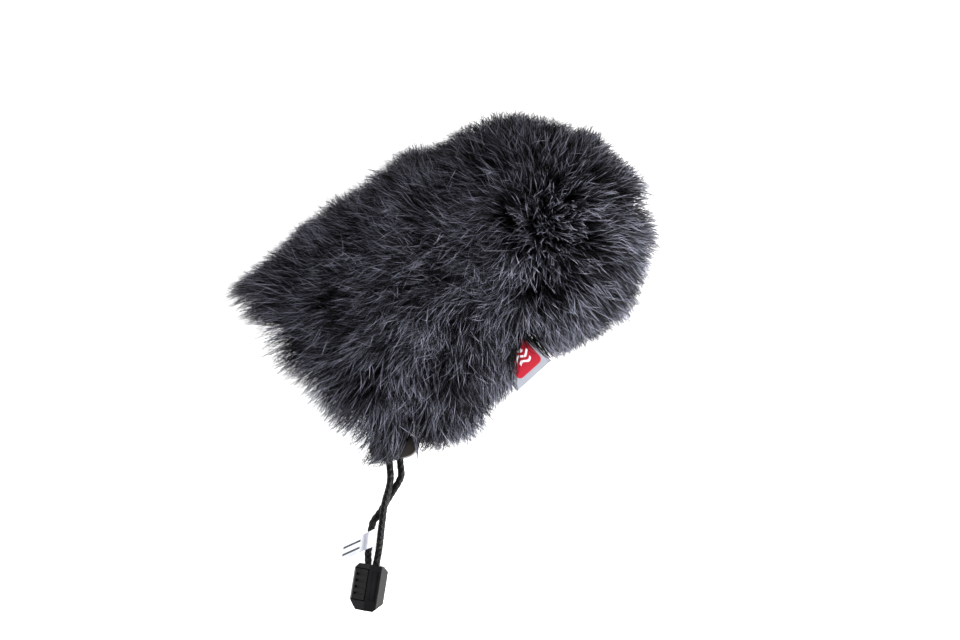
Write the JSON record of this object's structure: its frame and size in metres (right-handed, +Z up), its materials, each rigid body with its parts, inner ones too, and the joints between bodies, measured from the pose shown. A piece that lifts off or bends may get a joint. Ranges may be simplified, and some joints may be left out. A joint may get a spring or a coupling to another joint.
{
  "type": "furry microphone windscreen",
  "caption": "Long-pile fur cover with a rounded closed head, an open mouth drawn in by a cord, a sprung cord lock, a clamshell cord end and a sewn side label.",
  "frame": {"origin": "on the surface that the cover lies on, under the middle of its outer size without the free cords", "axes": "+X along the cover from its open mouth to the tip of its head, +Z up from the surface that it lies on"},
  "size_m": [0.186, 0.1624, 0.068],
  "materials": {
    "fur": "long soft pile, charcoal with pale tips",
    "tape": "woven tape",
    "thread": "sewing thread",
    "cord": "braided polyester cord",
    "moulding": "fine satin moulding",
    "spring": "bright wire",
    "tag": "coated white film",
    "label": "woven satin with a red patch"
  },
  "bodies": {
    "cover": {"fur_body_top": "fur", "fur_body_bottom": "fur", "fur_head_top": "fur", "fur_head_bottom": "fur", "hem_thread": "thread", "waist_thread": "thread", "body_thread_left": "thread", "body_thread_right": "thread", "head_thread": "thread", "label_thread": "thread", "hem_casing": "tape", "drawcord_loop": "cord", "cord_tail_a": "cord", "cord_tail_b": "cord", "cord_knot": "cord", "cord_end_body": "moulding"},
    "cord_lock": {"cord_lock_body": "moulding", "cord_lock_spring": "spring"},
    "plunger": {"cord_lock_plunger": "moulding"},
    "end_lid": {"cord_end_lid": "moulding"},
    "tag": {"cord_tag": "tag"},
    "label": {"side_label": "label"}
  },
  "joints": [
    {"name": "lock_slide", "type": "slide", "parent": "cover", "child": "cord_lock", "axis": [-0.3746, -0.9272, 0], "range_m": [0, 0.007]},
    {"name": "plunger_press", "type": "slide", "parent": "cord_lock", "child": "plunger", "axis": [0, 0, -1], "range_m": [0, 0.0024], "stiffness_N_per_m": 400, "springref_m": -0.002, "deforming": ["cord_lock_spring"]},
    {"name": "lid_hinge", "type": "hinge", "parent": "cover", "child": "end_lid", "pos_m": [-0.09012, -0.08498, 0.002], "axis": [-0.5878, -0.809, 0], "range_deg": [0, 100]},
    {"name": "tag_swivel", "type": "hinge", "parent": "cover", "child": "tag", "pos_m": [-0.0806, -0.0791, 0.0022], "axis": [0.5736, 0.8191, 0], "range_deg": [0, 130]},
    {"name": "label_flap", "type": "hinge", "parent": "cover", "child": "label", "pos_m": [0.0065, -0.0239, 0.0133], "axis": [-0.9659, -0.2588, 0], "range_deg": [-9, 12], "stiffness_Nm_per_rad": 0.003}
  ]
}
